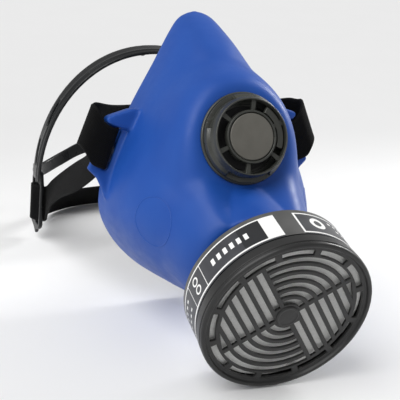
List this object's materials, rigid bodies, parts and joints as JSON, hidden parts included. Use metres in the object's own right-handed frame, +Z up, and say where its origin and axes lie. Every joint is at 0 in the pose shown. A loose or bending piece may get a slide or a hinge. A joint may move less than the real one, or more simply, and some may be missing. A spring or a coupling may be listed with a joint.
{
  "type": "half-mask respirator",
  "caption": "Half-mask respirator with a blue rubber facepiece, a screw-on round filter, an exhalation valve and an elastic head harness.",
  "frame": {"origin": "under the middle of the whole object, on the surface that it stands on", "axes": "+Z up, -Y the way the wearer looks, +X to the right seen from the front"},
  "size_m": [0.144, 0.2972, 0.1635],
  "materials": {
    "facepiece": "matt moulded elastomer",
    "black_plastic": "fine-grained moulded plastic",
    "graphite_plastic": "satin moulded plastic",
    "badge": "satin",
    "webbing": "woven elastic",
    "seal_rubber": "matt",
    "silicone": "soft matt, translucent look",
    "filter_media": "fibrous non-woven",
    "carbon": "granular matt",
    "label": "printed film"
  },
  "bodies": {
    "facepiece": {"facepiece": "facepiece", "connector_housing": "black_plastic", "connector_lock_ring": "black_plastic", "connector_gasket": "seal_rubber", "inhalation_valve_seat": "graphite_plastic", "exhalation_valve_seat": "graphite_plastic", "neck_strap": "webbing"},
    "inhalation_flap": {"inhalation_valve_flap": "silicone"},
    "exhalation_flap": {"exhalation_valve_flap": "seal_rubber"},
    "valve_cover": {"valve_cover": "graphite_plastic", "valve_cover_badge": "badge"},
    "neck_seal": {"filter_neck_gasket": "seal_rubber"},
    "filter": {"filter_housing": "graphite_plastic", "filter_label": "label", "filter_front_cover": "graphite_plastic", "prefilter_disc": "filter_media", "pleated_element": "filter_media", "carbon_retainer": "black_plastic", "carbon_bed": "carbon", "rear_grid": "black_plastic"},
    "harness": {"head_cradle": "black_plastic", "head_strap": "webbing"}
  },
  "joints": [
    {"name": "filter_advance", "type": "slide", "parent": "facepiece", "child": "neck_seal", "axis": [0, -0.9677, -0.2521], "range_m": [0, 0.01]},
    {"name": "filter_turn", "type": "hinge", "parent": "neck_seal", "child": "filter", "pos_m": [0, -0.09668, 0.05515], "axis": [0, -0.9677, -0.2521], "range_deg": [0, 990]},
    {"name": "valve_cover_turn", "type": "hinge", "parent": "facepiece", "child": "valve_cover", "pos_m": [0, -0.06551, 0.11344], "axis": [0, -0.9222, 0.3867], "range_deg": [0, 30]},
    {"name": "exhalation_flap_lift", "type": "slide", "parent": "facepiece", "child": "exhalation_flap", "axis": [0, -0.9222, 0.3867], "range_m": [0, 0.0015], "stiffness_N_per_m": 60},
    {"name": "inhalation_flap_lift", "type": "slide", "parent": "facepiece", "child": "inhalation_flap", "axis": [0, 0.9677, 0.2521], "range_m": [0, 0.0015], "stiffness_N_per_m": 60},
    {"name": "harness_swing", "type": "hinge", "parent": "facepiece", "child": "harness", "pos_m": [0, -0.0107, 0.09116], "axis": [1, 0, 0], "range_deg": [0, 35]}
  ],
  "couplings": [
    {"joint": "filter_advance", "follows": "filter_turn", "m_per_rad": 0.0005775}
  ]
}
